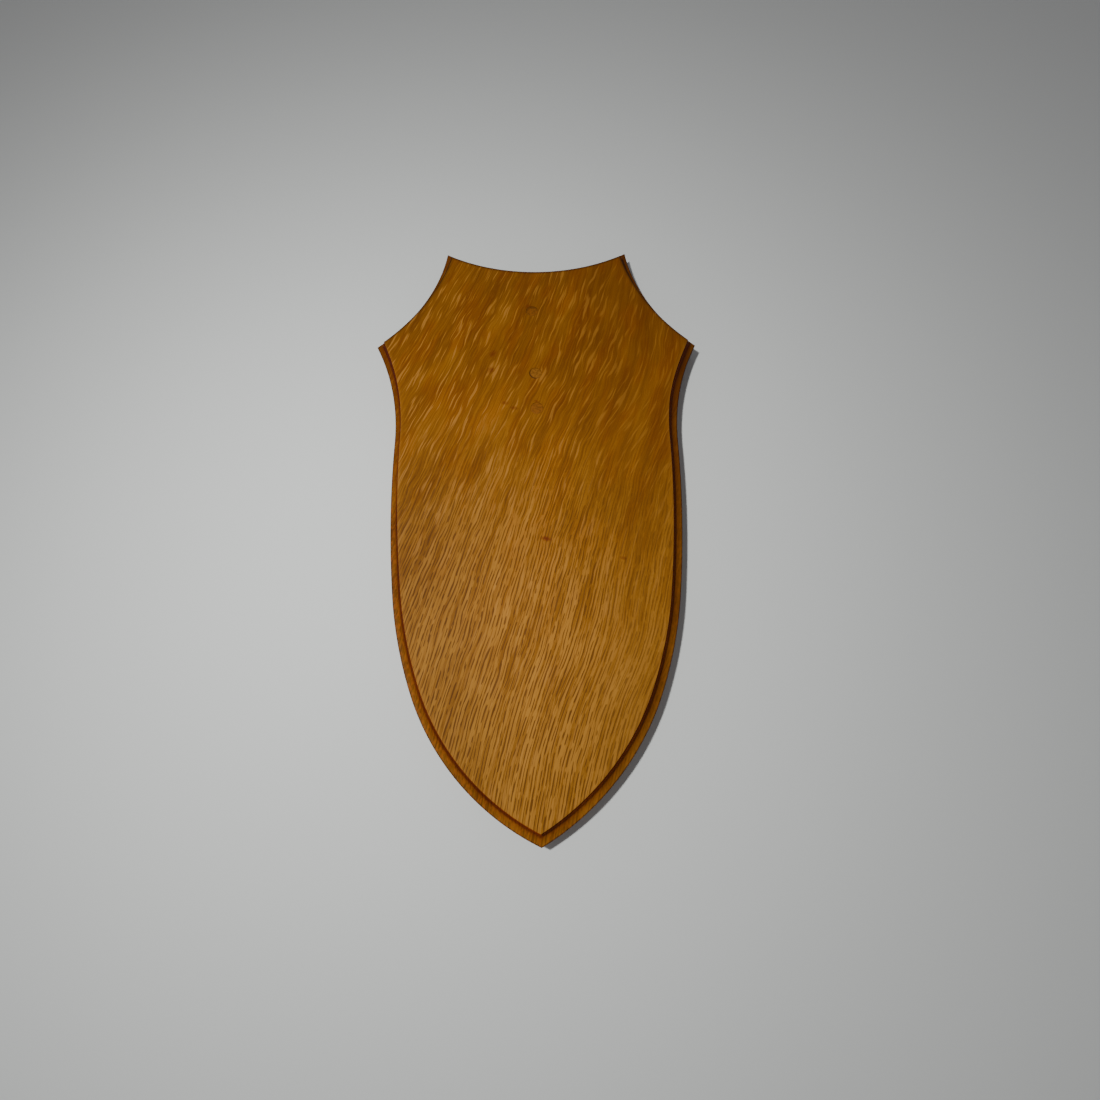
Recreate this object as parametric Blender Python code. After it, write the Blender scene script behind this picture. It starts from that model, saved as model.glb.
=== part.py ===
"""Wooden mounting shield: one flat oak board in the outline of a heraldic shield, hollow-moulded round its
edge, with three round plugs set flush in its face. It lies on its back: the face looks up along +Z, the
pointed tip lies towards -Y. Metres. The origin is on the back, at the middle of the board's length."""
from collections import namedtuple
from math import atan2, ceil, cos, pi, radians, remainder, sin, tau

import bmesh
import bpy
from mathutils import Vector

# Outline of the board, seen from its face
BOARD_LENGTH = 0.380
BODY_WIDTH = 0.180
HORN_SPAN = 0.1285
TOP_HOLLOW = 0.0178
EAR_SPAN = 0.2156
EAR_DROP = 0.0804
SHOULDER_HOLLOW = 0.0085
NECK_DROP = 0.1536
FLANK_RADIUS = 0.710
FLANK_SWEEP = radians(7.9)
HIP_RADIUS = 0.237
HIP_SWEEP = radians(13.8)
# The tip was cut a little to the right of the middle
TIP_OFFSET = 0.0024

# Moulding round the edge: a step below the face, a narrow ledge, a hollow quarter round and a flat lip
BOARD_THICKNESS = 0.019
STEP_HEIGHT = 0.0016
LEDGE_WIDTH = 0.0007
COVE_RADIUS = 0.0053
LIP_WIDTH = 0.0009

# Plugs, glued into blind holes and planed flush; each place is its distance to the right of the middle line
# and below the horns
PLUG_RADIUS = 0.004
PLUG_LENGTH = 0.009
PLUG_PLACES = {
    "upper_plug": (-0.0028, 0.0575),
    "middle_plug": (-0.0004, 0.1070),
    "lower_plug": (0.0005, 0.1330),
}
JOINT_GAP = 0.0003

# Fineness of the faceted curves
EDGE_SEGMENT = 0.0065
COVE_STEPS = 6
PLUG_SIDES = 40

# Colours as linear values
OAK_COLOUR = (0.270, 0.105, 0.012, 1.0)
PLUG_COLOUR = (0.215, 0.075, 0.013, 1.0)

# An arc of the outline: bulge is +1 where the board is full there and -1 where it is hollow
Arc = namedtuple("Arc", "centre radius bulge")


def hollow_arc(start, end, depth):
    """The hollow arc between two corners, cut into the board by the given depth. The board is on its left."""
    chord = end - start
    radius = (chord.length_squared / 4 + depth ** 2) / (2 * depth)
    outwards = Vector((chord.y, -chord.x)).normalized()
    return Arc((start + end) / 2 + outwards * (radius - depth), radius, -1)


def side_arcs(side):
    """The arcs of one side, from its ear down to the tip, and the points where they begin. The right side
    is worked out and turned over for the left one; side is +1 or -1."""
    half_length = BOARD_LENGTH / 2
    ear = Vector((EAR_SPAN / 2, half_length - EAR_DROP))
    neck = Vector((BODY_WIDTH / 2, half_length - NECK_DROP))
    tip = Vector((side * TIP_OFFSET, -half_length))

    flare = ear - neck
    neck_radius = flare.length_squared / (2 * flare.x)
    neck_arc = Arc(neck + Vector((neck_radius, 0)), neck_radius, -1)

    flank_centre = neck - Vector((FLANK_RADIUS, 0))
    flank_end = Vector((cos(FLANK_SWEEP), -sin(FLANK_SWEEP)))
    hip = flank_centre + FLANK_RADIUS * flank_end
    hip_centre = hip - HIP_RADIUS * flank_end

    hip_end = Vector((cos(FLANK_SWEEP + HIP_SWEEP), -sin(FLANK_SWEEP + HIP_SWEEP)))
    foot = hip_centre + HIP_RADIUS * hip_end
    to_tip = tip - foot
    foot_radius = -to_tip.length_squared / (2 * to_tip.dot(hip_end))

    arcs = [neck_arc,
            Arc(flank_centre, FLANK_RADIUS, 1),
            Arc(hip_centre, HIP_RADIUS, 1),
            Arc(foot - foot_radius * hip_end, foot_radius, 1)]
    arcs = [Arc(Vector((side * arc.centre.x, arc.centre.y)), arc.radius, arc.bulge) for arc in arcs]
    starts = [Vector((side * point.x, point.y)) for point in (ear, neck, hip, foot)]
    return arcs, starts, Vector((TIP_OFFSET, -half_length))


def board_outline():
    """The arcs of the whole outline, anticlockwise from the tip, the point where each begins, and whether
    that point is a corner."""
    right_arcs, right_starts, tip = side_arcs(1)
    left_arcs, left_starts, _ = side_arcs(-1)
    right_horn = Vector((HORN_SPAN / 2, BOARD_LENGTH / 2))
    left_horn = Vector((-right_horn.x, right_horn.y))
    right_ear, left_ear = right_starts[0], left_starts[0]

    arcs = right_arcs[::-1]
    starts = [tip] + right_starts[:0:-1]
    arcs += [hollow_arc(right_ear, right_horn, SHOULDER_HOLLOW),
             hollow_arc(right_horn, left_horn, TOP_HOLLOW),
             hollow_arc(left_horn, left_ear, SHOULDER_HOLLOW)]
    starts += [right_ear, right_horn, left_horn]
    arcs += left_arcs
    starts += left_starts
    corners = (tip, right_ear, right_horn, left_horn, left_ear)
    return arcs, starts, [point in corners for point in starts]


def inset_arc(arc, inset):
    return Arc(arc.centre, arc.radius - arc.bulge * inset, arc.bulge)


def meeting_point(first, second, near):
    """Where two arcs' circles cross, nearest to the given point."""
    between = second.centre - first.centre
    distance = between.length
    along = (distance ** 2 + first.radius ** 2 - second.radius ** 2) / (2 * distance)
    across = max(first.radius ** 2 - along ** 2, 0.0) ** 0.5
    direction = between / distance
    normal = Vector((-direction.y, direction.x))
    middle = first.centre + direction * along
    return min((middle + normal * across, middle - normal * across), key=lambda point: (point - near).length)


def ring(outline, inset):
    """Points of the outline moved inwards by inset, mitred at the corners. Every ring of one outline has the
    same number of points, so that rings can be joined by plain strips of faces."""
    arcs, starts, is_corner = outline
    moved = [inset_arc(arc, inset) for arc in arcs]
    joints = []
    for index, start in enumerate(starts):
        before, after = moved[index - 1], moved[index]
        if is_corner[index]:
            joints.append(meeting_point(before, after, start))
        else:
            joints.append(after.centre + (start - after.centre).normalized() * after.radius)
    points = []
    for index, arc in enumerate(moved):
        following = (index + 1) % len(moved)
        full_length = (starts[following] - starts[index]).length
        steps = max(2, ceil(full_length / EDGE_SEGMENT))
        from_centre = joints[index] - arc.centre
        to_centre = joints[following] - arc.centre
        first_angle = atan2(from_centre.y, from_centre.x)
        sweep = remainder(atan2(to_centre.y, to_centre.x) - first_angle, tau)
        for step in range(steps):
            angle = first_angle + sweep * step / steps
            points.append(arc.centre + arc.radius * Vector((cos(angle), sin(angle))))
    return points


def edge_profile():
    """The moulding's section, from the back up to the face, as pairs of inset and height."""
    cove_top = BOARD_THICKNESS - STEP_HEIGHT
    profile = [(0.0, 0.0), (0.0, cove_top - COVE_RADIUS)]
    for step in range(COVE_STEPS + 1):
        angle = pi / 2 * step / COVE_STEPS
        profile.append((LIP_WIDTH + COVE_RADIUS * sin(angle), cove_top - COVE_RADIUS * cos(angle)))
    face_inset = LIP_WIDTH + COVE_RADIUS + LEDGE_WIDTH
    profile.append((face_inset, cove_top))
    profile.append((face_inset, BOARD_THICKNESS))
    return profile


def wood(name, colour, roughness):
    material = bpy.data.materials.new(name)
    material.use_nodes = True
    shader = material.node_tree.nodes["Principled BSDF"]
    shader.inputs["Base Color"].default_value = colour
    shader.inputs["Roughness"].default_value = roughness
    shader.inputs["Metallic"].default_value = 0.0
    return material


def link_object(name, mesh_builder, material=None):
    mesh = bpy.data.meshes.new(name)
    mesh_builder.to_mesh(mesh)
    mesh_builder.free()
    item = bpy.data.objects.new(name, mesh)
    bpy.context.scene.collection.objects.link(item)
    if material:
        mesh.materials.append(material)
    return item


def make_board(material):
    outline = board_outline()
    builder = bmesh.new()
    rings = [[builder.verts.new((point.x, point.y, height)) for point in ring(outline, inset)]
             for inset, height in edge_profile()]
    for lower, upper in zip(rings, rings[1:]):
        for index in range(len(lower)):
            following = (index + 1) % len(lower)
            builder.faces.new((lower[index], lower[following], upper[following], upper[index]))
    builder.faces.new(rings[0][::-1])
    builder.faces.new(rings[-1])
    return link_object("shield_board", builder, material)


def make_cylinder(name, radius, length, place, material=None):
    """An upright cylinder whose top is level with the board's face."""
    builder = bmesh.new()
    bmesh.ops.create_cone(builder, cap_ends=True, segments=PLUG_SIDES,
                          radius1=radius, radius2=radius, depth=length)
    bmesh.ops.translate(builder, verts=builder.verts, vec=(0, 0, -length / 2))
    item = link_object(name, builder, material)
    across, drop = place
    item.location = (across, BOARD_LENGTH / 2 - drop, BOARD_THICKNESS)
    item.data.shade_smooth()
    item.data.set_sharp_from_angle(angle=radians(35))
    return item


def drill_hole(board, name, place):
    """A blind hole for one plug, cut from above the face."""
    depth = PLUG_LENGTH + JOINT_GAP
    above_face = depth
    cutter = make_cylinder(name + "_hole", PLUG_RADIUS + JOINT_GAP, depth + above_face, place)
    cutter.location.z += above_face
    cutter.hide_render = True
    cutter.display_type = "WIRE"
    cut = board.modifiers.new(name + "_hole", "BOOLEAN")
    cut.operation = "DIFFERENCE"
    cut.solver = "EXACT"
    cut.object = cutter


for item in list(bpy.data.objects):
    bpy.data.objects.remove(item, do_unlink=True)

board_oak = wood("varnished_oak", OAK_COLOUR, 0.38)
plug_oak = wood("varnished_oak_plug", PLUG_COLOUR, 0.42)

shield_board = make_board(board_oak)
for plug_name, plug_place in PLUG_PLACES.items():
    drill_hole(shield_board, plug_name, plug_place)
    make_cylinder(plug_name, PLUG_RADIUS, PLUG_LENGTH, plug_place, plug_oak)
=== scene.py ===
# A wooden mounting shield: one flat board of quarter-sawn oak in the outline of a heraldic shield, with a hollow
# moulding worked round its edge and three plugged screw holes in its face, stained golden brown and varnished.
from collections import namedtuple
from functools import partial
from math import atan2, ceil, cos, pi, radians, remainder, sin, tau

import bpy
from mathutils import Matrix, Vector


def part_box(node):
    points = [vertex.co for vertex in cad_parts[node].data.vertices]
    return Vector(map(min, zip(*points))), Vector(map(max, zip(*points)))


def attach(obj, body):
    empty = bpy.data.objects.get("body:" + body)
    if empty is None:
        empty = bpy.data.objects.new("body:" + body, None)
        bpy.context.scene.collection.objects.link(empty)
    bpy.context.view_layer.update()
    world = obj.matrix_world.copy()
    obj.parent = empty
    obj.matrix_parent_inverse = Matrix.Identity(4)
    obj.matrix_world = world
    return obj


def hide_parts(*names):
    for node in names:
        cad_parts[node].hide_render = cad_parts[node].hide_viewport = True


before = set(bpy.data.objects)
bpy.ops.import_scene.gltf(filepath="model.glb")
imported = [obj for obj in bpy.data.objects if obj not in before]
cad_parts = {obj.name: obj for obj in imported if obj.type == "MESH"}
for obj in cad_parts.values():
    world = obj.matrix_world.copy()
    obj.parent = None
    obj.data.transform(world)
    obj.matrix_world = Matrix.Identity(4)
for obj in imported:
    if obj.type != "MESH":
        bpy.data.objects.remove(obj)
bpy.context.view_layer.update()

# The board. It was sawn from one plank of oak to a heraldic outline made of arcs, and a cutter run round it left
# a small step, a ledge, a hollow quarter round and a thin flat lip. The sharp edges were eased with fine paper.
LENGTH = 0.380
BODY_WIDTH = 0.180
HORN_SPAN = 0.1285
TOP_HOLLOW = 0.0178
EAR_SPAN = 0.2156
EAR_DROP = 0.0804
SHOULDER_HOLLOW = 0.0085
NECK_DROP = 0.1536
FLANK_RADIUS = 0.710
FLANK_SWEEP = radians(7.9)
HIP_RADIUS = 0.237
HIP_SWEEP = radians(13.8)
TIP_OFFSET = 0.0024

back_corner, face_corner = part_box("shield_board")
THICKNESS = face_corner.z - back_corner.z
STEP_HEIGHT = 0.0016
LEDGE_WIDTH = 0.0007
COVE_RADIUS = 0.0053
LIP_WIDTH = 0.0009
MOULDING_WIDTH = LIP_WIDTH + COVE_RADIUS + LEDGE_WIDTH
BACK_EASING = 0.0005
LIP_EASING = 0.00045
LEDGE_EASING = 0.00012
QUIRK_EASING = 0.00015
FACE_EASING = 0.0003

# The cutter drifted outwards on the left flank and round both ears and shoulders, which left the moulding
# narrower there by this share, and it came back by part of that towards the horns
UPPER_NARROWING = 0.22
HORN_RETURN = 0.45

OUTLINE_SEGMENT = 0.0016
COVE_STEPS = 14

# An arc of the outline: bulge is +1 where the board is full there and -1 where it is hollow
Arc = namedtuple("Arc", "centre radius bulge")


def hollow_arc(start, end, depth):
    """The hollow arc between two corners, cut into the board by the given depth. The board is on its left."""
    chord = end - start
    radius = (chord.length_squared / 4 + depth ** 2) / (2 * depth)
    outwards = Vector((chord.y, -chord.x)).normalized()
    return Arc((start + end) / 2 + outwards * (radius - depth), radius, -1)


def side_arcs(side):
    """The arcs of one side from its ear down to the tip, with the points where they begin."""
    ear = Vector((EAR_SPAN / 2, LENGTH / 2 - EAR_DROP))
    neck = Vector((BODY_WIDTH / 2, LENGTH / 2 - NECK_DROP))
    flare = ear - neck
    neck_radius = flare.length_squared / (2 * flare.x)
    flank_end = Vector((cos(FLANK_SWEEP), -sin(FLANK_SWEEP)))
    flank_centre = neck - Vector((FLANK_RADIUS, 0))
    hip = flank_centre + FLANK_RADIUS * flank_end
    hip_centre = hip - HIP_RADIUS * flank_end
    hip_end = Vector((cos(FLANK_SWEEP + HIP_SWEEP), -sin(FLANK_SWEEP + HIP_SWEEP)))
    foot = hip_centre + HIP_RADIUS * hip_end
    to_tip = Vector((side * TIP_OFFSET, -LENGTH / 2)) - foot
    foot_radius = -to_tip.length_squared / (2 * to_tip.dot(hip_end))
    arcs = [Arc(neck + Vector((neck_radius, 0)), neck_radius, -1),
            Arc(flank_centre, FLANK_RADIUS, 1),
            Arc(hip_centre, HIP_RADIUS, 1),
            Arc(foot - foot_radius * hip_end, foot_radius, 1)]
    arcs = [Arc(Vector((side * arc.centre.x, arc.centre.y)), arc.radius, arc.bulge) for arc in arcs]
    return arcs, [Vector((side * point.x, point.y)) for point in (ear, neck, hip, foot)]


def meeting_point(first, second, near):
    """Where two arcs' circles cross, nearest to the given point."""
    between = second.centre - first.centre
    along = (between.length_squared + first.radius ** 2 - second.radius ** 2) / (2 * between.length)
    across = max(first.radius ** 2 - along ** 2, 0.0) ** 0.5
    direction = between.normalized()
    middle = first.centre + direction * along
    normal = Vector((-direction.y, direction.x)) * across
    return min((middle + normal, middle - normal), key=lambda point: (point - near).length)


def angle_from(centre, point):
    return atan2(point.y - centre.y, point.x - centre.x)


def board_outline():
    """The arcs anticlockwise from the tip, the point where each begins, and which of those are corners."""
    right_arcs, right_starts = side_arcs(1)
    left_arcs, left_starts = side_arcs(-1)
    tip = Vector((TIP_OFFSET, -LENGTH / 2))
    right_horn = Vector((HORN_SPAN / 2, LENGTH / 2))
    left_horn = Vector((-HORN_SPAN / 2, LENGTH / 2))
    right_ear, left_ear = right_starts[0], left_starts[0]
    arcs = right_arcs[::-1] + [hollow_arc(right_ear, right_horn, SHOULDER_HOLLOW),
                               hollow_arc(right_horn, left_horn, TOP_HOLLOW),
                               hollow_arc(left_horn, left_ear, SHOULDER_HOLLOW)] + left_arcs
    starts = [tip] + right_starts[:0:-1] + [right_ear, right_horn, left_horn] + left_starts
    corners = (tip, right_ear, right_horn, left_horn, left_ear)
    return arcs, starts, [point in corners for point in starts]


def new_mesh_object(name, points, edges=(), faces=()):
    """A mesh object of points, which lie at height 0 where only two values are given."""
    mesh = bpy.data.meshes.new(name)
    mesh.from_pydata([Vector((*point, 0.0)[:3]) for point in points], list(edges), list(faces))
    item = bpy.data.objects.new(name, mesh)
    bpy.context.scene.collection.objects.link(item)
    return item


def smooth_step(value, low, high):
    share = min(max((value - low) / (high - low), 0.0), 1.0)
    return share * share * (3 - 2 * share)


def moulding_share(point):
    """How wide the moulding is there against its full width."""
    from_left_hip = smooth_step(-point.x, 0.02, 0.06) * smooth_step(point.y, -0.09, 0.06)
    drift = max(from_left_hip, smooth_step(point.y, 0.06, 0.105))
    return 1 - UPPER_NARROWING * drift * (1 - HORN_RETURN * smooth_step(point.y, 0.14, LENGTH / 2))


# What each point of the outline's guide knows: its arc's centre and signed radius, the way that the edge faces
# there, how far that way turns by the moulding's inner edge, and how wide the moulding is
GUIDE_KINDS = {"arc_centre": "FLOAT_VECTOR", "arc_radius": "FLOAT", "faces": "FLOAT", "mitre_turn": "FLOAT",
               "width_share": "FLOAT"}


def outline_guide():
    """The outline as one closed line, with the values of GUIDE_KINDS at each point. The moulding's inner edge
    is mitred at the corners too, so that it runs from one meeting point of two inner arcs to the next."""
    arcs, starts, is_corner = board_outline()
    inner = [Arc(arc.centre, arc.radius - arc.bulge * MOULDING_WIDTH, arc.bulge) for arc in arcs]
    inner_starts = []
    for index, start in enumerate(starts):
        centre = arcs[index].centre
        on_arc = centre + (start - centre).normalized() * inner[index].radius
        corner = meeting_point(inner[index - 1], inner[index], start) if is_corner[index] else on_arc
        inner_starts.append(corner)
    points, rows = [], []
    for index, arc in enumerate(arcs):
        following = (index + 1) % len(arcs)
        first = angle_from(arc.centre, starts[index])
        sweep = remainder(angle_from(arc.centre, starts[following]) - first, tau)
        inner_first = angle_from(arc.centre, inner_starts[index])
        inner_sweep = remainder(angle_from(arc.centre, inner_starts[following]) - inner_first, tau)
        steps = ceil((starts[following] - starts[index]).length / OUTLINE_SEGMENT)
        for step in range(steps):
            angle = first + sweep * step / steps
            turn = remainder(inner_first + inner_sweep * step / steps - angle, tau)
            points.append(arc.centre + arc.radius * Vector((cos(angle), sin(angle))))
            outwards = angle if arc.bulge > 0 else angle + pi
            rows.append(((*arc.centre, 0.0), arc.bulge * arc.radius, outwards, turn, moulding_share(points[-1])))
    count = len(points)
    guide = new_mesh_object("outline_guide", points, [(index, (index + 1) % count) for index in range(count)])
    for column, (name, kind) in enumerate(GUIDE_KINDS.items()):
        attribute = guide.data.attributes.new(name, kind, "POINT")
        values = [row[column] for row in rows]
        if kind == "FLOAT_VECTOR":
            attribute.data.foreach_set("vector", [number for value in values for number in value])
        else:
            attribute.data.foreach_set("value", values)
    return guide


def eased(corner, before, after, easing, steps=4):
    """Points of a square corner rounded by the given easing, between its directions before and after."""
    angles = [pi / 2 * step / steps for step in range(steps + 1)]
    return [corner - before * easing * (1 - sin(angle)) + after * easing * (1 - cos(angle)) for angle in angles]


def section_guide():
    """The edge's section from the back up to the face: x is the distance in from the edge, y the height. The
    flat strips beside each eased corner keep its shading to itself."""
    inwards, outwards, up = Vector((1, 0)), Vector((-1, 0)), Vector((0, 1))
    ledge_height = THICKNESS - STEP_HEIGHT
    lip_height = ledge_height - COVE_RADIUS
    points = [Vector((0.0016, 0.0)), Vector((0.0009, 0.0))]
    points += eased(Vector((0.0, 0.0)), outwards, up, BACK_EASING)
    points += [Vector((0.0, 0.0012)), Vector((0.0, lip_height - 0.0011))]
    points += eased(Vector((0.0, lip_height)), up, inwards, LIP_EASING)

    # The quarter round stops just short of upright, to leave room for the ledge's eased corner
    cove_sweep = pi / 2 * 0.985
    for step in range(COVE_STEPS + 1):
        angle = cove_sweep * step / COVE_STEPS
        points.append(Vector((LIP_WIDTH + COVE_RADIUS * sin(angle), ledge_height - COVE_RADIUS * cos(angle))))
    points += eased(Vector((LIP_WIDTH + COVE_RADIUS, ledge_height)), up, inwards, LEDGE_EASING, 2)
    points += [Vector((MOULDING_WIDTH - QUIRK_EASING, ledge_height)),
               Vector((MOULDING_WIDTH, ledge_height + QUIRK_EASING)),
               Vector((MOULDING_WIDTH, THICKNESS - 2 * FACE_EASING))]
    points += eased(Vector((MOULDING_WIDTH, THICKNESS)), up, inwards, FACE_EASING)
    points += [Vector((MOULDING_WIDTH + 0.0011, THICKNESS)), Vector((MOULDING_WIDTH + 0.0026, THICKNESS))]

    # How much of the arris's colour, its wear and its painted shade along the top, each point takes: all of it on
    #     the eased corner, less beside it
    guide = new_mesh_object("section_guide", points)
    arris = guide.data.attributes.new("arris", "FLOAT", "POINT")
    near_arris = [0.0 if point.y < THICKNESS - 0.0004 else 1.0 if point.x < MOULDING_WIDTH + 0.0005 else 0.45
                  for point in points[:-1]]
    arris.data.foreach_set("value", near_arris + [0.0])
    return guide


def add_node(tree, kind, inputs=(), **settings):
    """Adds a node to a tree. Its inputs are listed in the order of its sockets, or given by name or number. Each
    is a value, or the node or socket that feeds it, or a list of those. A node feeds by its first output."""
    node = tree.nodes.new(kind)
    for name, value in settings.items():
        setattr(node, name, value)
    if not isinstance(inputs, dict):
        in_use = [number for number, socket in enumerate(node.inputs) if socket.enabled]
        inputs = dict(zip(in_use, inputs))
    for key, value in inputs.items():
        for item in value if isinstance(value, list) else [value]:
            if isinstance(item, bpy.types.Node):
                item = next(socket for socket in item.outputs if socket.enabled)
            if isinstance(item, bpy.types.NodeSocket):
                tree.links.new(item, node.inputs[key])
            else:
                node.inputs[key].default_value = item
    return node


def new_tree(name, sizes):
    """A Geometry Nodes tree with a geometry input, the given named inputs and one geometry output. Its inputs
    are returned with it."""
    tree = bpy.data.node_groups.new(name, "GeometryNodeTree")
    tree.interface.new_socket("Geometry", in_out="INPUT", socket_type="NodeSocketGeometry")
    for label, kind in sizes.items():
        tree.interface.new_socket(label, in_out="INPUT", socket_type=kind)
    tree.interface.new_socket("Geometry", in_out="OUTPUT", socket_type="NodeSocketGeometry")
    return tree, tree.nodes.new("NodeGroupInput").outputs


def sampled(tree, source, name, kind, index):
    """The value that the named attribute has at the source's point with that index."""
    attribute = add_node(tree, "GeometryNodeInputNamedAttribute", [name], data_type=kind)
    return add_node(tree, "GeometryNodeSampleIndex", [source, attribute, index], data_type=kind)


def section_grid(tree, section, around):
    """A grid to bend into a swept section, with the column and the row of each of its points and the number of
    rows. It has one column more than there are points around, so that its last column closes on its first."""
    add = partial(add_node, tree)
    rows = add("GeometryNodeAttributeDomainSize", [section], component="MESH").outputs["Point Count"]
    columns = add("ShaderNodeMath", [around, 1.0], operation="ADD")
    grid = add("GeometryNodeMeshGrid", {"Vertices X": columns, "Vertices Y": rows})
    index = add("GeometryNodeInputIndex")
    past_start = add("ShaderNodeMath", [index, 0.5], operation="ADD")
    columns_passed = add("ShaderNodeMath", [past_start, rows], operation="DIVIDE")
    column = add("ShaderNodeMath", [columns_passed], operation="FLOOR")
    points_before = add("ShaderNodeMath", [column, rows], operation="MULTIPLY")
    row = add("ShaderNodeMath", [index, points_before], operation="SUBTRACT")
    return grid, column, row, rows


def place_at(tree, angle, reach, height):
    """The place at that reach from the upright axis in the direction of the angle, at that height."""
    flat = [add_node(tree, "ShaderNodeMath", [angle], operation=way) for way in ("COSINE", "SINE")]
    flat = [add_node(tree, "ShaderNodeMath", [reach, share], operation="MULTIPLY") for share in flat]
    return add_node(tree, "ShaderNodeCombineXYZ", [*flat, height])


def smoothed(tree, geometry, crease):
    """Shades the faces smooth, but for edges that bend by more than the crease."""
    add = partial(add_node, tree)
    smooth = add("GeometryNodeSetShadeSmooth", {"Geometry": geometry, "Shade Smooth": True}, domain="FACE")
    bend = add("GeometryNodeInputMeshEdgeAngle").outputs["Unsigned Angle"]
    gentle = add("ShaderNodeMath", [bend, crease], operation="LESS_THAN")
    return add("GeometryNodeSetShadeSmooth", {"Geometry": smooth, "Shade Smooth": gentle}, domain="EDGE")


def end_tree(tree, geometry, wood):
    """Ends a tree: what it made becomes one solid mesh of the given wood."""
    solid = add_node(tree, "GeometryNodeRealizeInstances", [geometry])
    finished = add_node(tree, "GeometryNodeSetMaterial", {"Geometry": solid, "Material": wood})
    add_node(tree, "NodeGroupOutput", [finished])


def grown(guide, tree, values, name):
    """Runs the tree on a guide and returns the result as a plain mesh object at the origin."""
    modifier = guide.modifiers.new(tree.name, "NODES")
    modifier.node_group = tree
    for socket in tree.interface.items_tree:
        if socket.in_out == "INPUT" and socket.name in values:
            modifier[socket.identifier] = values[socket.name]
    evaluated = guide.evaluated_get(bpy.context.evaluated_depsgraph_get())
    mesh = bpy.data.meshes.new_from_object(evaluated)
    guide.modifiers.remove(modifier)
    mesh.name = name
    item = bpy.data.objects.new(name, mesh)
    bpy.context.scene.collection.objects.link(item)
    return item


# Places of the plugs on the face, from the middle of the board, and the holes that they fill
PLUGS = ("upper_plug", "middle_plug", "lower_plug")
plug_boxes = {name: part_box(name) for name in PLUGS}
plug_places = [(low + high) / 2 for low, high in plug_boxes.values()]
PLUG_RADIUS = (plug_boxes["middle_plug"][1].x - plug_boxes["middle_plug"][0].x) / 2
PLUG_LENGTH = plug_boxes["middle_plug"][1].z - plug_boxes["middle_plug"][0].z
GLUE_LINE = 0.00009
PLUG_SIDES = 64
BOARD_CREASE = radians(32)


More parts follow.
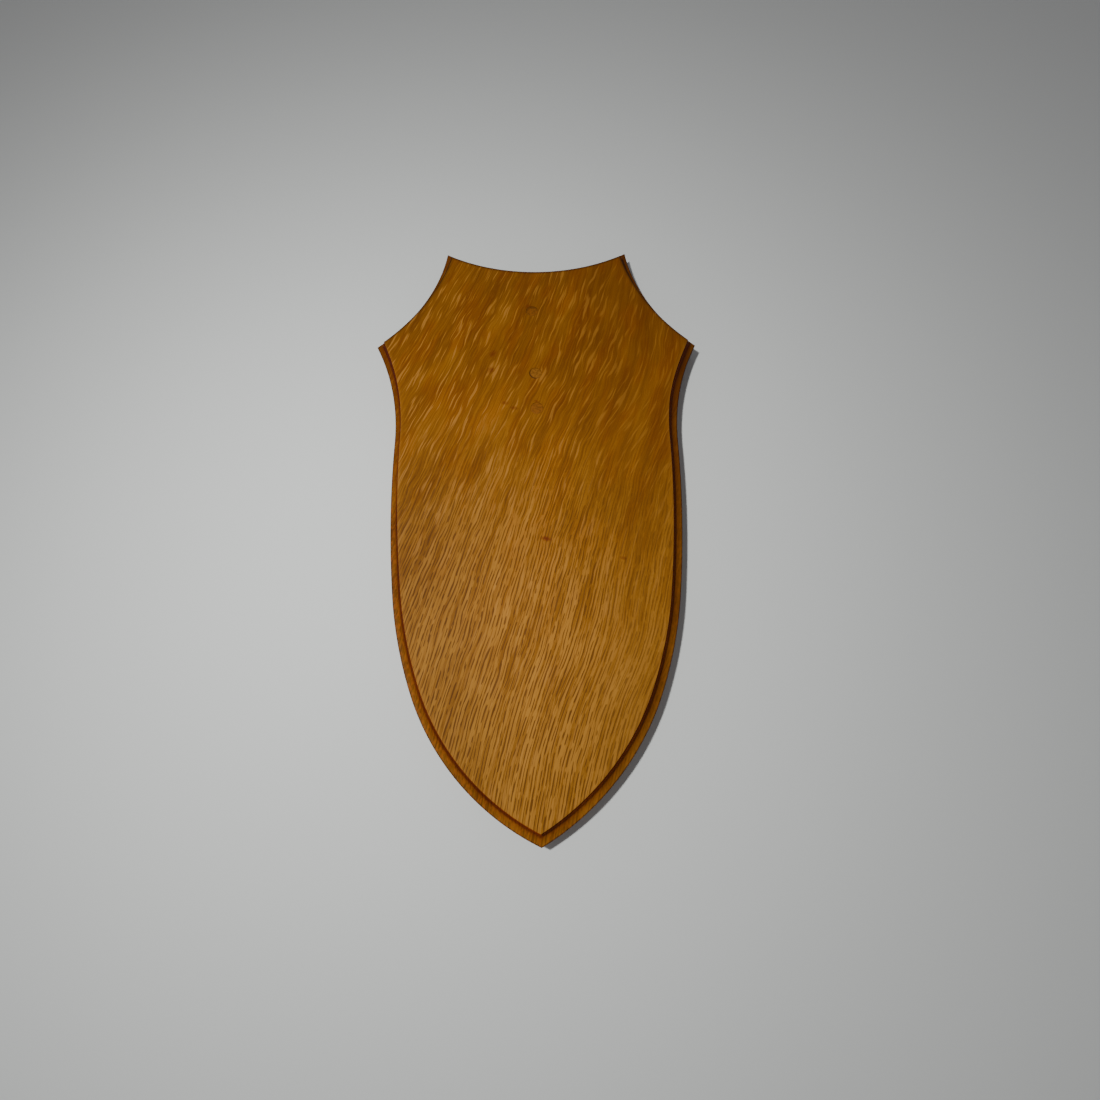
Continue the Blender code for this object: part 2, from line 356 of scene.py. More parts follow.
def board_tree():
    """Sweeps the section round the outline with mitred corners, closes the back and the face, and sinks the
    plugs' holes into the face."""
    tree, given = new_tree("moulded_board", {
        "Section": "NodeSocketObject", "Hole Places": "NodeSocketObject", "Moulding Width": "NodeSocketFloat",
        "Thickness": "NodeSocketFloat", "Hole Radius": "NodeSocketFloat", "Hole Depth": "NodeSocketFloat",
        "Hole Sides": "NodeSocketInt", "Wood": "NodeSocketMaterial"})
    add = partial(add_node, tree)
    outline = given["Geometry"]
    section = add("GeometryNodeObjectInfo", [given["Section"]]).outputs["Geometry"]
    places = add("GeometryNodeObjectInfo", [given["Hole Places"]]).outputs["Geometry"]
    around = add("GeometryNodeAttributeDomainSize", [outline], component="MESH").outputs["Point Count"]

    grid, column, row, rows = section_grid(tree, section, around)
    point = add("ShaderNodeMath", [column, around], operation="FLOORED_MODULO")
    centre, radius, faces, mitre_turn, width_share = [
        sampled(tree, outline, name, kind, point) for name, kind in GUIDE_KINDS.items()]
    profile = add("ShaderNodeSeparateXYZ", [sampled(tree, section, "position", "FLOAT_VECTOR", row)])

    inset = add("ShaderNodeMath", [profile.outputs["X"], width_share], operation="MULTIPLY")
    share = add("ShaderNodeMath", [inset, given["Moulding Width"]], operation="DIVIDE")
    angle = add("ShaderNodeMath", [mitre_turn, share, faces], operation="MULTIPLY_ADD")
    reach = add("ShaderNodeMath", [radius, inset], operation="SUBTRACT")
    offset = place_at(tree, angle, reach, profile.outputs["Y"])
    place = add("ShaderNodeVectorMath", [centre, offset], operation="ADD")
    edge = add("GeometryNodeSetPosition", {"Geometry": grid, "Position": place})

    arris = sampled(tree, section, "arris", "FLOAT", row)
    inwards = add("ShaderNodeMath", [profile.outputs["X"], given["Moulding Width"]], operation="DIVIDE")
    for name, value in (("arris", arris), ("inwards", inwards), ("row", row)):
        edge = add("GeometryNodeStoreNamedAttribute", {"Geometry": edge, "Name": name, "Value": value},
                   data_type="FLOAT")
    edge = add("GeometryNodeMergeByDistance", {"Geometry": edge, "Distance": 1e-6})
    row_of = add("GeometryNodeInputNamedAttribute", ["row"], data_type="FLOAT")

    # Holes: cylinders open at the top, seen from inside, whose rims meet the holes left in the face
    cylinder = add("GeometryNodeMeshCylinder", {
        "Vertices": given["Hole Sides"], "Radius": given["Hole Radius"], "Depth": given["Hole Depth"]},
        fill_type="NGON")
    open_top = add("GeometryNodeDeleteGeometry", [cylinder, cylinder.outputs["Top"]],
                   domain="FACE", mode="ONLY_FACE")
    hole = add("GeometryNodeFlipFaces", [open_top])
    half_depth = add("ShaderNodeMath", [given["Hole Depth"], 0.5], operation="MULTIPLY")
    hole_height = add("ShaderNodeMath", [given["Thickness"], half_depth], operation="SUBTRACT")
    sunk = add("GeometryNodeTransform", {
        "Geometry": hole, "Translation": add("ShaderNodeCombineXYZ", {"Z": hole_height})})
    holes = add("GeometryNodeInstanceOnPoints", {"Points": places, "Instance": sunk})
    rim = add("GeometryNodeCurvePrimitiveCircle", [given["Hole Sides"], given["Hole Radius"]], mode="RADIUS")
    rims = add("GeometryNodeInstanceOnPoints", {"Points": places, "Instance": rim})
    rims = add("GeometryNodeRealizeInstances", [rims])

    def sheet(row_number, openings, height):
        """A sheet at that height that fills one row of the edge, but for the openings."""
        on_row = add("FunctionNodeCompare", [row_of, row_number, 0.1], data_type="FLOAT", operation="EQUAL")
        ring = add("GeometryNodeMeshToCurve", [edge, on_row])
        loops = add("GeometryNodeJoinGeometry", {"Geometry": [ring, *openings]})
        filled = add("GeometryNodeFillCurve", [loops], mode="TRIANGLES")
        level = add("ShaderNodeCombineXYZ", {"Z": height})
        return add("GeometryNodeSetPosition", {"Geometry": filled, "Offset": level})

    last_row = add("ShaderNodeMath", [rows, 1.0], operation="SUBTRACT")
    face = sheet(last_row, [rims], given["Thickness"])
    back = add("GeometryNodeFlipFaces", [sheet(0.0, [], 0.0)])
    whole = add("GeometryNodeJoinGeometry", {"Geometry": [edge, face, back, holes]})
    whole = add("GeometryNodeRealizeInstances", [whole])
    whole = add("GeometryNodeMergeByDistance", {"Geometry": whole, "Distance": 1e-5})
    end_tree(tree, smoothed(tree, whole, BOARD_CREASE), given["Wood"])
    return tree


# Figure of the wood, in millimetres, and how far it leans for each millimetre upwards. Real pores are about
# 0.3 mm wide, too fine to show at the size of the picture, so their rows are drawn about 0.6 mm wide
GRAIN_SLOPE = 0.30
RING_WIDTH = 0.9
PORE_ROW_SPACING = 1.9
PORE_LENGTH = 6.0
RAY_WIDTH = 1.6
RAY_LENGTH = 22.0
RAY_SWING = 14.0

# Pin knots and small dark marks: where the middle of each lies on the face in millimetres, its half length and
# half width, its turn in degrees and how much of its own colour it has
MARKS = (
    (5.9, -30.1, 4.0, 1.9, -12, 0.95),
    (50.0, -42.1, 2.4, 1.4, -20, 0.6),
    (-28.3, 98.1, 4.0, 3.0, 60, 0.6),
    (-29.3, 85.7, 3.8, 2.8, 50, 0.65),
    (-19.8, 60.9, 3.2, 1.8, -10, 0.55),
    (-14.0, 57.2, 3.4, 1.9, -15, 0.6),
    (-5.2, 136.6, 2.6, 2.6, 15, 0.5),
    (0.4, 62.0, 2.4, 0.9, -25, 0.6),
)

# What the gathered stain and painted light do to the wood's colour, by the share of the way in from the edge
# to the face: painted shade darkens the lip's outer corner, the lip is golden, and it is reddest under the step,
# where the red also paints the warm light bounced into the step's shadow
HOLLOW_STAIN_AND_PAINTED_LIGHT = ((0.0, "#DDCDC4"), (0.02, "#90867A"), (0.05, "#90867A"), (0.12, "#E4D8CC"), (0.36, "#DFCFB6"),
                (0.54, "#DEC09A"), (0.68, "#F0B678"), (0.80, "#FFAA5C"))

# The ground's colours, and the heights in millimetres between which the figure changes from pores to rays
GROUND = ((0.0, "#62380A"), (0.5, "#825516"), (1.0, "#A8782F"))
FIGURE_CHANGE = (-150.0, 120.0)


def linear(code):
    """An sRGB hex colour as linear values."""
    channels = [int(code[start:start + 2], 16) / 255 for start in (1, 3, 5)]
    return (*(value / 12.92 if value <= 0.04045 else ((value + 0.055) / 1.055) ** 2.4 for value in channels), 1.0)


def with_stops(ramp, stops):
    """Gives a colour ramp its hex colours, each with its place from 0 to 1."""
    elements = ramp.color_ramp.elements
    for element, (place, code) in zip(elements, (stops[0], stops[-1])):
        element.position = place
        element.color = linear(code)
    for place, code in stops[1:-1]:
        elements.new(place).color = linear(code)
    return ramp


# Places in the board in millimetres: to the right, towards the horns and up, then across and along the grain
Grain = namedtuple("Grain", "x y z across along")


def grain_noise(add, grain, sizes, detail=2.0, roughness=0.5, shift=0.0):
    """Noise in blotches of the given sizes, which are in millimetres across the grain, along it and through the
    board."""
    across_size, along_size, depth_size = sizes
    blotch = add("ShaderNodeCombineXYZ", [
        add("ShaderNodeMath", [grain.across, 1 / across_size, shift], operation="MULTIPLY_ADD"),
        add("ShaderNodeMath", [grain.along, 1 / along_size], operation="MULTIPLY"),
        add("ShaderNodeMath", [grain.z, 1 / depth_size], operation="MULTIPLY")])
    return add("ShaderNodeTexNoise", {"Vector": blotch, "Scale": 1.0, "Detail": detail, "Roughness": roughness})


def lean_of_grain(add, x, y):
    """How far the grain has leaned to the right by each place: more at the top left, less towards the tip."""
    height_squared = add("ShaderNodeMath", [y, y], operation="MULTIPLY")
    lean = add("ShaderNodeMath", [y, GRAIN_SLOPE], operation="MULTIPLY")
    lean = add("ShaderNodeMath", [height_squared, 0.0002, lean], operation="MULTIPLY_ADD")
    fan = add("ShaderNodeMath", [y, 100.0], operation="MULTIPLY")
    fan = add("ShaderNodeMath", [height_squared, 0.5, fan], operation="MULTIPLY_ADD")
    fan = add("ShaderNodeMath", [x, fan], operation="MULTIPLY")
    lean = add("ShaderNodeMath", [fan, -0.000008, lean], operation="MULTIPLY_ADD")
    upper_bend = add("ShaderNodeMapRange", [y, 5.0, 85.0, 0.0, 10.0], interpolation_type="SMOOTHSTEP")
    lower_bend = add("ShaderNodeMapRange", [y, -155.0, -80.0, -9.0, 0.0], interpolation_type="SMOOTHSTEP")
    bend = add("ShaderNodeMath", [upper_bend, lower_bend], operation="ADD")
    rightwards = add("ShaderNodeMapRange", [x, -60.0, 50.0], interpolation_type="SMOOTHSTEP")
    return add("ShaderNodeMath", [rightwards, bend, lean], operation="MULTIPLY_ADD")


def grain_places(add, millimetres):
    """The grain of the board, which wanders by a few millimetres and quivers more towards the horns."""
    place = add("ShaderNodeSeparateXYZ", [millimetres])
    x, y, z = (place.outputs[axis] for axis in "XYZ")
    along = add("ShaderNodeMath", [y, 0.96], operation="MULTIPLY")
    along = add("ShaderNodeMath", [x, 0.29, along], operation="MULTIPLY_ADD")
    across = add("ShaderNodeMath", [x, lean_of_grain(add, x, y)], operation="SUBTRACT")
    wander = add("ShaderNodeTexNoise", {"Vector": millimetres, "Scale": 1 / 45, "Detail": 1.0})
    across = add("ShaderNodeMath", [wander, 4.5, across], operation="MULTIPLY_ADD")
    quiver = grain_noise(add, Grain(x, y, z, across, along), (9.0, 17.0, 9.0), detail=1.5)
    quiver = add("ShaderNodeMath", [quiver, 0.5], operation="SUBTRACT")
    quiver_size = add("ShaderNodeMapRange", [y, *FIGURE_CHANGE, 0.8, 3.8], interpolation_type="SMOOTHSTEP")
    across = add("ShaderNodeMath", [quiver, quiver_size, across], operation="MULTIPLY_ADD")
    return Grain(x, y, z, across, along)


def open_pores(add, grain):
    """Pores lie in rows that wander a little, each broken into dashes."""
    wander = grain_noise(add, grain, (3.2, 26.0, 6.0), detail=1.0, shift=33.0)
    wander = add("ShaderNodeMath", [wander, 9.0], operation="MULTIPLY")
    row_turn = add("ShaderNodeMath", [grain.across, tau / PORE_ROW_SPACING, wander], operation="MULTIPLY_ADD")
    row_wave = add("ShaderNodeMath", [row_turn], operation="SINE")
    in_row = add("ShaderNodeMapRange", [row_wave, 0.10, 0.75], interpolation_type="SMOOTHSTEP")
    dashes = grain_noise(add, grain, (1.0, PORE_LENGTH, 1.2), detail=0.0, shift=61.0)
    dashes = add("ShaderNodeMapRange", [dashes, 0.38, 0.48], interpolation_type="SMOOTHSTEP")
    return add("ShaderNodeMath", [in_row, dashes], operation="MULTIPLY")


def swung_grain(add, grain):
    """Beside the right edge the rays lean further than the rest of the grain."""
    swing = add("ShaderNodeMath", [grain.y, -5.0], operation="ADD")
    swing = add("ShaderNodeMath", [swing, 1 / 60], operation="MULTIPLY")
    swing = add("ShaderNodeMath", [swing], operation="ARCTANGENT")
    most = add("ShaderNodeMapRange", [grain.x, 20.0, 75.0, 0.0, RAY_SWING], interpolation_type="SMOOTHSTEP")
    swing = add("ShaderNodeMath", [swing, most], operation="MULTIPLY")
    return grain._replace(across=add("ShaderNodeMath", [grain.across, swing], operation="SUBTRACT"))


def calm_places(add, grain):
    """How much of the figure is left: less of it in the moulding and near the right edge."""
    in_moulding = add("ShaderNodeMapRange", [grain.z, 18.9, 17.9, 1.0, 0.5], interpolation_type="SMOOTHSTEP")
    near_right = add("ShaderNodeMapRange", [grain.x, 15.0, 60.0, 1.0, 0.6], interpolation_type="SMOOTHSTEP")
    return add("ShaderNodeMath", [in_moulding, near_right], operation="MULTIPLY")


def ground_colour(add, grain, rings, grit, calm):
    """Brown to straw. Rings stand upright in the board, and broader bands and clouds vary its tone."""
    bands = grain_noise(add, grain, (5.0, 90.0, 60.0), detail=1.0, shift=7.3)
    cloud = grain_noise(add, grain, (16.0, 42.0, 60.0), shift=3.1)
    tone = add("ShaderNodeMath", [cloud, 0.40], operation="MULTIPLY")
    tone = add("ShaderNodeMath", [bands, 0.20, tone], operation="MULTIPLY_ADD")
    grit_share = add("ShaderNodeMapRange", [grain.y, *FIGURE_CHANGE, 0.30, 0.10], interpolation_type="SMOOTHSTEP")
    tone = add("ShaderNodeMath", [grit, grit_share, tone], operation="MULTIPLY_ADD")
    ring_share = add("ShaderNodeMapRange", [grain.y, *FIGURE_CHANGE, 0.24, 0.12], interpolation_type="SMOOTHSTEP")
    ring_share = add("ShaderNodeMath", [ring_share, calm], operation="MULTIPLY")
    tone = add("ShaderNodeMath", [rings, ring_share, tone], operation="MULTIPLY_ADD")
    paler = add("ShaderNodeMapRange", [grain.y, *FIGURE_CHANGE, 0.15, 0.06], interpolation_type="SMOOTHSTEP")
    tone = add("ShaderNodeMath", [tone, paler], operation="ADD")
    tone = add("ShaderNodeMapRange", [tone, 0.10, 1.00], interpolation_type="SMOOTHSTEP")
    return with_stops(add("ShaderNodeValToRGB", [tone]), GROUND)


def layered(add, colour, layers):
    """Lays layers over a colour, each with its share, the way it blends, and its hex code or its node."""
    for share, blend, over in layers:
        over = linear(over) if isinstance(over, str) else over
        colour = add("ShaderNodeMix", [share, colour, over], data_type="RGBA", blend_type=blend)
    return colour


def figure_layers(add, grain, swung, rays, pores, calm):
    """The ground is reddened in patches, most towards the horns, with rays and pores over it. Rays fade downwards
    and away from the left edge, and pores fade upwards."""
    redness = grain_noise(add, grain, (11.0, 30.0, 60.0), shift=17.0)
    redness = add("ShaderNodeMapRange", [redness, 0.42, 0.66], interpolation_type="SMOOTHSTEP")
    upwards = add("ShaderNodeMapRange", [grain.y, *FIGURE_CHANGE], interpolation_type="SMOOTHSTEP")
    redness = add("ShaderNodeMath", [redness, upwards], operation="MULTIPLY")

    ray_share = add("ShaderNodeMapRange", [grain.y, *FIGURE_CHANGE, 0.30, 0.57], interpolation_type="SMOOTHSTEP")
    ray_share = add("ShaderNodeMath", [ray_share, calm], operation="MULTIPLY")
    near_left = add("ShaderNodeMapRange", [grain.x, 10.0, -50.0, 1.0, 1.35], interpolation_type="SMOOTHSTEP")
    ray_share = add("ShaderNodeMath", [ray_share, near_left], operation="MULTIPLY")
    small_ray_share = add("ShaderNodeMath", [ray_share, 0.25], operation="MULTIPLY")
    small_rays = grain_noise(add, swung, (0.9, 7.0, 0.6), detail=1.0, shift=43.0)
    small_rays = add("ShaderNodeMapRange", [small_rays, 0.58, 0.70], interpolation_type="SMOOTHSTEP")
    small_rays = add("ShaderNodeMath", [small_rays, small_ray_share], operation="MULTIPLY")
    large_rays = add("ShaderNodeMath", [rays, ray_share], operation="MULTIPLY")

    pore_share = add("ShaderNodeMapRange", [grain.y, 95.0, -60.0, 0.06, 0.84], interpolation_type="SMOOTHSTEP")
    pore_share = add("ShaderNodeMath", [pore_share, calm], operation="MULTIPLY")
    dark_pores = add("ShaderNodeMath", [pores, pore_share], operation="MULTIPLY")
    return [(redness, "MULTIPLY", "#FFF0E0"), (small_rays, "MIX", "#A0722F"), (large_rays, "MIX", "#AE7E3C"),
            (dark_pores, "MIX", "#58340A")]


def mark_layers(add, millimetres, grit):
    """The dark marks, with ragged rims."""
    layers = []
    for mark_x, mark_y, half_length, half_width, turn, depth in MARKS:
        spot = add("ShaderNodeMapping", [
            millimetres, (mark_x, mark_y, 0.0), (0.0, 0.0, radians(turn)), (half_length, half_width, 40.0)],
            vector_type="TEXTURE")
        away = add("ShaderNodeVectorMath", [spot], operation="LENGTH")
        ragged = add("ShaderNodeMath", [grit, 0.6, away], operation="MULTIPLY_ADD")
        near = add("ShaderNodeMapRange", [ragged, 1.5, 0.6, 0.0, depth], interpolation_type="SMOOTHSTEP")
        layers.append((near, "MIX", "#602406"))
    return layers


def stain_layers(add, grain):
    """The stain is deeper and redder towards the horns, and deeper at the lower sides and the tip."""
    upwards = add("ShaderNodeMapRange", [grain.y, *FIGURE_CHANGE], interpolation_type="SMOOTHSTEP")
    tint = add("ShaderNodeMix", [upwards, linear("#FAF2E9"), linear("#DFD2B8")], data_type="RGBA")
    left = add("ShaderNodeMapRange", [grain.x, 0.0, -65.0], interpolation_type="SMOOTHSTEP")
    left_foot = add("ShaderNodeMapRange", [grain.y, 60.0, -40.0], interpolation_type="SMOOTHSTEP")
    right = add("ShaderNodeMapRange", [grain.x, 5.0, 60.0, 0.0, 0.45], interpolation_type="SMOOTHSTEP")
    right_foot = add("ShaderNodeMapRange", [grain.y, 40.0, -20.0], interpolation_type="SMOOTHSTEP")
    deeper = add("ShaderNodeMapRange", [grain.y, -70.0, -150.0, 0.0, 0.4], interpolation_type="SMOOTHSTEP")
    deeper = add("ShaderNodeMath", [left, left_foot, deeper], operation="MULTIPLY_ADD")
    deeper = add("ShaderNodeMath", [right, right_foot, deeper], operation="MULTIPLY_ADD")
    return [(1.0, "MULTIPLY", tint), (deeper, "MULTIPLY", "#E0E0DC")]


def hollow_layers(add, swung):
    """Stain and varnish gathered in the hollow, with painted shade at the lip's outer corner and painted bounce
    light under the step. The hollow on the right is dulled with painted shade, as it faces away from the lamp.
    The lip took the stain in orange blotches, mostly at the lower left, and the hollow is darker under the left
    step."""
    inwards = add("ShaderNodeAttribute", attribute_name="inwards").outputs["Fac"]
    # Gathered stain, with painted shade on the lip's outer corner and painted bounce light under the step
    stain_and_painted_light = with_stops(add("ShaderNodeValToRGB", [inwards]), HOLLOW_STAIN_AND_PAINTED_LIGHT)
    # Painted shade: the right side of the hollow, which faces away from the lamp, is dulled
    right_painted_shade = add("ShaderNodeMapRange", [swung.x, 10.0, 60.0], interpolation_type="SMOOTHSTEP")
    blotches = grain_noise(add, swung, (1.6, 3.6, 3.0), detail=1.5, shift=71.0)
    blotches = add("ShaderNodeMapRange", [blotches, 0.47, 0.60], interpolation_type="SMOOTHSTEP")
    for span in ([inwards, 0.60, 0.45], [swung.x, 50.0, -20.0, 0.12, 0.34], [swung.y, 90.0, -70.0, 0.1, 1.0]):
        fade = add("ShaderNodeMapRange", span, interpolation_type="SMOOTHSTEP")
        blotches = add("ShaderNodeMath", [blotches, fade], operation="MULTIPLY")
    # The hollow is darker under the left step
    left_side = add("ShaderNodeMapRange", [swung.x, 25.0, -15.0], interpolation_type="SMOOTHSTEP")
    under_step = add("ShaderNodeMapRange", [inwards, 0.54, 0.70], interpolation_type="SMOOTHSTEP")
    left_step_darkening = add("ShaderNodeMath", [left_side, under_step], operation="MULTIPLY")
    return [(1.0, "MULTIPLY", stain_and_painted_light), (right_painted_shade, "MULTIPLY", "#EEEEF4"), (blotches, "MIX", "#9A541C"),
            (left_step_darkening, "MULTIPLY", "#B8AA96")]


def arris_layer(add, grain):
    """The face's arris is a little paler along the sides, where the stain wore thin, and along the shoulders and
    the top it is painted dark as the shade on its eased edge, which faces away from the lamp.
    """
    arris = add("ShaderNodeAttribute", attribute_name="arris").outputs["Fac"]
    shoulder = add("ShaderNodeMapRange", [grain.y, 100.0, 112.0], interpolation_type="SMOOTHSTEP")
    # The dark colour along the shoulders and the top is painted shade
    colour = add("ShaderNodeMix", [shoulder, linear("#8A5A22"), linear("#2A1604")], data_type="RGBA")
    share = add("ShaderNodeMapRange", [grain.y, 100.0, 112.0, 0.35, 0.95], interpolation_type="SMOOTHSTEP")
    return (add("ShaderNodeMath", [arris, share], operation="MULTIPLY"), "MIX", colour)


def varnished_oak():
    """Quarter-sawn oak, planed, stained golden brown and brushed with a satin varnish. In the upper half the
    medullary rays show as pale flecks along the grain, and in the lower half the open pores as rows of fine dark
    dashes. The stain gathered in the hollow of the moulding and wore thin on the face's arris; painted shade and
    bounce light are laid in the hollow too, and painted shade on the arris along the top."""
    material = bpy.data.materials.new("varnished_oak")
    material.use_nodes = True
    tree = material.node_tree
    shader = tree.nodes["Principled BSDF"]
    add = partial(add_node, tree)
    at = add("ShaderNodeTexCoord").outputs["Object"]
    millimetres = add("ShaderNodeVectorMath", [at, 1000.0], operation="SCALE")
    grain = grain_places(add, millimetres)
    swung = swung_grain(add, grain)

    grit = grain_noise(add, grain, (0.5, 1.6, 0.8), roughness=0.7)
    rings = grain_noise(add, grain, (RING_WIDTH, 30.0, 30.0), detail=0.0)
    rings = add("ShaderNodeMapRange", [rings, 0.38, 0.60], interpolation_type="SMOOTHSTEP")
    rays = grain_noise(add, swung, (RAY_WIDTH, RAY_LENGTH, 0.9), detail=1.0, roughness=0.4, shift=21.0)
    rays = add("ShaderNodeMapRange", [rays, 0.56, 0.69], interpolation_type="SMOOTHSTEP")
    pores = open_pores(add, grain)
    calm = calm_places(add, grain)

    colour = ground_colour(add, grain, rings, grit, calm)
    colour = layered(add, colour, figure_layers(add, grain, swung, rays, pores, calm))
    colour = layered(add, colour, mark_layers(add, millimetres, grit) + stain_layers(add, grain))
    # The hollow's colour: gathered stain, with painted shade and painted bounce light
    stained_and_shaded = layered(add, colour, hollow_layers(add, swung))
    in_hollow = add("ShaderNodeMapRange", [grain.z, 18.9, 17.9], interpolation_type="SMOOTHSTEP")
    colour = layered(add, colour, [(in_hollow, "MIX", stained_and_shaded), arris_layer(add, grain)])
    tree.links.new(colour.outputs[2], shader.inputs["Base Color"])

    # The varnish sinks a little into the pores and rings and stands on the rays
    roughness = add("ShaderNodeMapRange", [grit, 0.2, 0.8, 0.58, 0.68], interpolation_type="SMOOTHSTEP")
    tree.links.new(roughness.outputs["Result"], shader.inputs["Roughness"])
    height = add("ShaderNodeMath", [pores, -1.0], operation="MULTIPLY")
    height = add("ShaderNodeMath", [rays, 0.3, height], operation="MULTIPLY_ADD")
    height = add("ShaderNodeMath", [rings, 0.8, height], operation="MULTIPLY_ADD")
    relief = add("ShaderNodeBump", {"Strength": 0.6, "Distance": 0.00004, "Height": height})
    tree.links.new(relief.outputs["Normal"], shader.inputs["Normal"])
    shader.inputs["IOR"].default_value = 1.5
    shader.inputs["Specular IOR Level"].default_value = 0.07
    return material


oak = varnished_oak()
hole_places = new_mesh_object("hole_places", [(place.x, place.y) for place in plug_places])
outline = outline_guide()
section = section_guide()
board = grown(outline, board_tree(), {
    "Section": section, "Hole Places": hole_places, "Moulding Width": MOULDING_WIDTH, "Thickness": THICKNESS,
    "Hole Radius": PLUG_RADIUS + GLUE_LINE, "Hole Depth": PLUG_LENGTH + GLUE_LINE, "Hole Sides": PLUG_SIDES,
    "Wood": oak}, "oak_board")
for guide in (outline, section, hole_places):
    bpy.data.objects.remove(guide, do_unlink=True)
board.data.attributes.remove(board.data.attributes["row"])
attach(board, "root")
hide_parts("shield_board")


# The plugs. Three round ends of oak dowel, glued into the screw holes with their grain upright, then planed and
# varnished with the face, so that each shows a disc of end grain with a dark line of glue round it.
PLUG_CREASE = radians(50)

# Open pores of the end grain, 1.4 mm apart, and how far from the middle of the lit side the painted shadow of
# the hole's rim begins and is full
PORES_PER_METRE = 700.0
RIM_SHADOW_BEGINS = 0.0038
RIM_SHADOW_IS_FULL = 0.0044


def turned_tree():
    """Turns the section about the upright axis and sets the result on every given point. The section runs from
    the middle of the foot to the middle of the top: x is the radius, y the height."""
    tree, given = new_tree("turned_plug", {
        "Section": "NodeSocketObject", "Sides": "NodeSocketInt", "Wood": "NodeSocketMaterial"})
    add = partial(add_node, tree)
    section = add("GeometryNodeObjectInfo", [given["Section"]]).outputs["Geometry"]
    grid, column, row, _ = section_grid(tree, section, given["Sides"])
    profile = add("ShaderNodeSeparateXYZ", [sampled(tree, section, "position", "FLOAT_VECTOR", row)])
    turns = add("ShaderNodeMath", [column, given["Sides"]], operation="DIVIDE")
    angle = add("ShaderNodeMath", [turns, tau], operation="MULTIPLY")
    place = place_at(tree, angle, profile.outputs["X"], profile.outputs["Y"])
    turned = add("GeometryNodeSetPosition", {"Geometry": grid, "Position": place})
    welded = add("GeometryNodeMergeByDistance", {"Geometry": turned, "Distance": 1e-6})
    plugs = add("GeometryNodeInstanceOnPoints", {
        "Points": given["Geometry"], "Instance": smoothed(tree, welded, PLUG_CREASE)})
    end_tree(tree, plugs, given["Wood"])
    return tree


def dowel_end(name, light_grain, dark_grain, centre, lit_side, shade):
    """End grain of oak dowel under varnish: it drank more stain than the face, so it is darker and redder. The
    shadow that the hole's rim casts on the slightly sunk top is painted as a dark crescent away from lit_side, as
    deep as shade."""
    material = bpy.data.materials.new(name)
    material.use_nodes = True
    tree = material.node_tree
    add = partial(add_node, tree)
    shader = tree.nodes["Principled BSDF"]
    at = add("ShaderNodeTexCoord").outputs["Object"]
    pores = add("ShaderNodeTexNoise", {"Vector": at, "Scale": PORES_PER_METRE, "Detail": 2.0})
    grain = with_stops(add("ShaderNodeValToRGB", [pores]), ((0.35, dark_grain), (0.6, light_grain)))
    from_lit = add("ShaderNodeVectorMath", [at, centre + Vector((*lit_side, 0.0))], operation="DISTANCE")
    crescent = add("ShaderNodeMapRange", [from_lit, RIM_SHADOW_BEGINS, RIM_SHADOW_IS_FULL, 0.0, shade])
    # Painted shadow: the crescent where the hole's rim shades the sunk top
    rim_shadowed = add("ShaderNodeMix", [crescent, grain, linear("#341A06")], data_type="RGBA")
    tree.links.new(rim_shadowed.outputs[2], shader.inputs["Base Color"])
    shader.inputs["Roughness"].default_value = 0.62
    shader.inputs["Specular IOR Level"].default_value = 0.06
    relief = add("ShaderNodeBump", {"Strength": 0.5, "Distance": 0.00005, "Height": pores})
    tree.links.new(relief.outputs["Normal"], shader.inputs["Normal"])
    return material


# How far each plug's top lies below the face, the colours of its light and dark grain, which way its lit side
# lies from its middle, and how dark its painted shadow crescent is
PLUG_LOOKS = {
    "upper_plug": (0.00006, "#724212", "#5E380E", (0.0006, -0.0014), 0.40),
    "middle_plug": (0.00022, "#7B4E1B", "#684012", (0.0007, 0.0007), 0.85),
    "lower_plug": (0.00010, "#764616", "#623A10", (0.0, 0.0), 0.0),
}
PLUG_EASING = 0.00012
GLUE_DEPTH = 0.00012
turned = turned_tree()
for name, (low, high) in plug_boxes.items():
    sink, light_grain, dark_grain, lit_side, shade = PLUG_LOOKS[name]
    top = high.z - sink
    glue = top - GLUE_DEPTH
    centre = Vector(((low.x + high.x) / 2, (low.y + high.y) / 2, top))
    place = new_mesh_object(name + "_place", [(centre.x, centre.y)])

    # A thin collar of glue stands round the plug just below its eased top
    half_section = new_mesh_object(name + "_section", [
        (0.0, low.z),
        (PLUG_RADIUS, low.z),
        (PLUG_RADIUS, glue - GLUE_LINE),
        (PLUG_RADIUS + 0.9 * GLUE_LINE, glue),
        (PLUG_RADIUS, glue),
        (PLUG_RADIUS, top - PLUG_EASING),
        (PLUG_RADIUS - 0.3 * PLUG_EASING, top - 0.3 * PLUG_EASING),
        (PLUG_RADIUS - PLUG_EASING, top),
        (PLUG_RADIUS * 0.8, top),
        (PLUG_RADIUS * 0.4, top),
        (0.0, top)])
    dowel = dowel_end("dowel_" + name, light_grain, dark_grain, centre, lit_side, shade)
    plug = grown(place, turned, {"Section": half_section, "Sides": PLUG_SIDES, "Wood": dowel}, name + "_dowel")
    for guide in (place, half_section):
        bpy.data.objects.remove(guide, do_unlink=True)
    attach(plug, "root")
    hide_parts(name)


# The floor. Plain pale matt card that the shield lies on, laid flat. It is so wide that its far edge lies close
# to the horizon when it is seen from low down.
FLOOR_SIZE = 40.0
FLOOR_GAP = 0.0001
floor_corners = [(side_x * FLOOR_SIZE / 2, side_y * FLOOR_SIZE / 2, -FLOOR_GAP)
                 for side_x, side_y in ((-1, -1), (1, -1), (1, 1), (-1, 1))]
floor = new_mesh_object("floor", floor_corners, faces=[(0, 1, 2, 3)])
card = bpy.data.materials.new("pale_card")
card.use_nodes = True
card_shader = card.node_tree.nodes["Principled BSDF"]
card_shader.inputs["Base Color"].default_value = linear("#C9CCC9")
card_shader.inputs["Roughness"].default_value = 0.9
floor.data.materials.append(card)


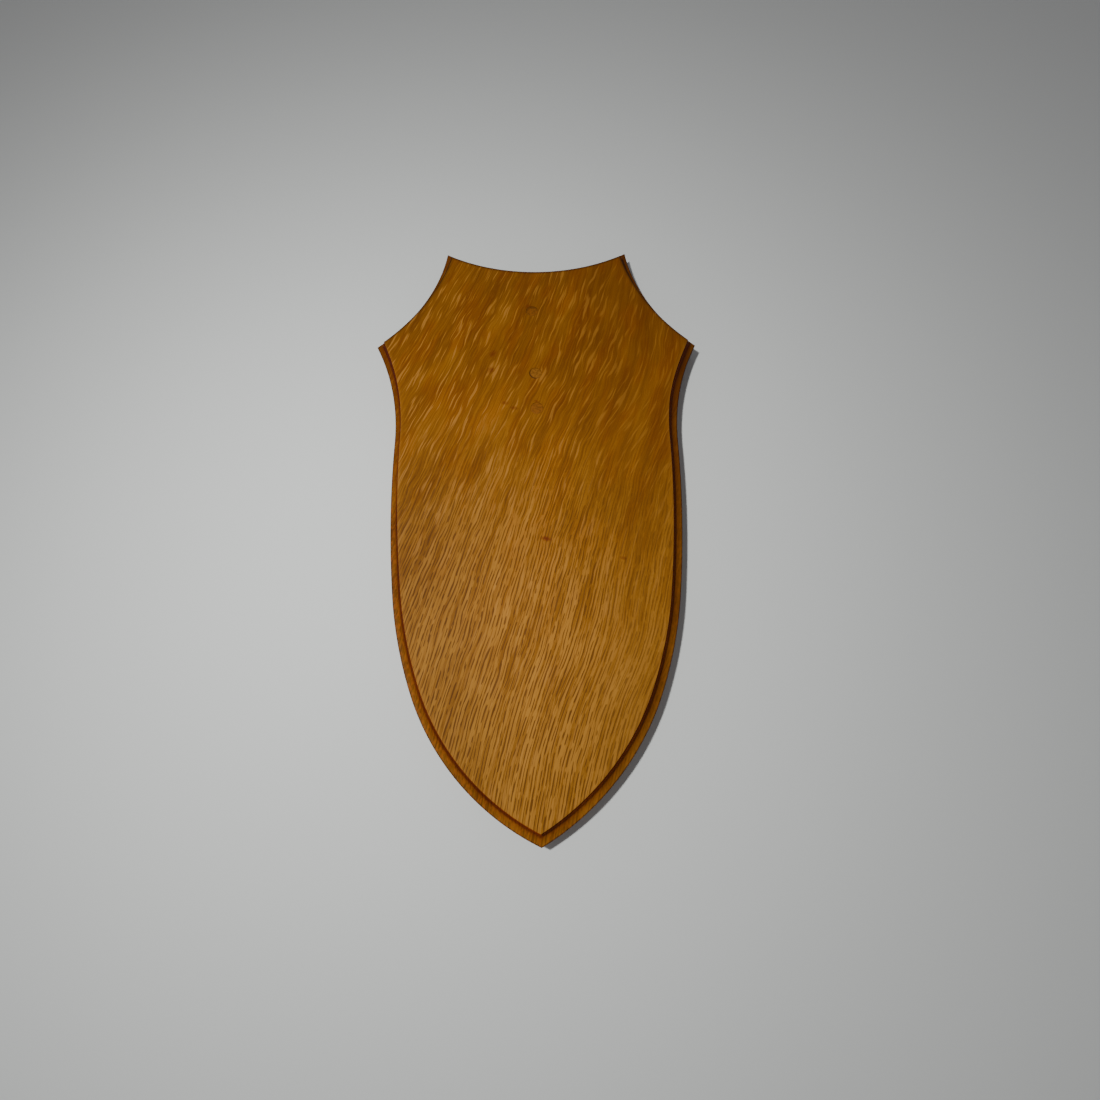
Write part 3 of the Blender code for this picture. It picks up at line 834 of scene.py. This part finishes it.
# Light and camera: a small soft lamp high on the left, a wide pale sky, and a camera that looks down on the
# board from just above its lower half.
LAMP_PLACE = Vector((-0.155, -0.035, 0.46))
LAMP_SIZE = 0.035
LAMP_POWER = 3.0
lamp_data = bpy.data.lights.new("lamp", "AREA")
lamp_data.shape = "DISK"
lamp_data.size = LAMP_SIZE
lamp_data.energy = LAMP_POWER
lamp = bpy.data.objects.new("lamp", lamp_data)
bpy.context.scene.collection.objects.link(lamp)
lamp.location = LAMP_PLACE
lamp.rotation_euler = LAMP_PLACE.to_track_quat("Z", "Y").to_euler()

HORIZON_GLOW = 0.64
ZENITH_GLOW = 0.09
world = bpy.data.worlds.new("pale_room")
world.use_nodes = True
sky = world.node_tree.nodes["Background"]
heading = add_node(world.node_tree, "ShaderNodeTexCoord").outputs["Generated"]
heading = add_node(world.node_tree, "ShaderNodeSeparateXYZ", [heading])
glow = add_node(world.node_tree, "ShaderNodeMapRange", [
    heading.outputs["Z"], 0.05, 0.9, HORIZON_GLOW, ZENITH_GLOW])
world.node_tree.links.new(glow.outputs["Result"], sky.inputs["Strength"])
sky.inputs["Color"].default_value = linear("#F2EFF4")
bpy.context.scene.world = world

IMAGE_SIDE = 1100
FOCAL_PIXELS = 481.0
SENSOR_WIDTH = 36.0
CAMERA_PLACE = Vector((0.00704, -0.11738, 0.28432))
CAMERA_TURN = radians(-0.618)
CAMERA_TILT = radians(16.868)
CAMERA_ROLL = radians(0.099)
camera_data = bpy.data.cameras.new("camera")
camera_data.sensor_width = SENSOR_WIDTH
camera_data.lens = SENSOR_WIDTH * FOCAL_PIXELS / IMAGE_SIDE
camera_data.clip_start = 0.01
camera = bpy.data.objects.new("camera", camera_data)
bpy.context.scene.collection.objects.link(camera)
camera.matrix_world = (Matrix.Translation(CAMERA_PLACE) @ Matrix.Rotation(CAMERA_TURN, 4, "Z")
                       @ Matrix.Rotation(CAMERA_TILT, 4, "X") @ Matrix.Rotation(CAMERA_ROLL, 4, "Z"))
bpy.context.scene.camera = camera
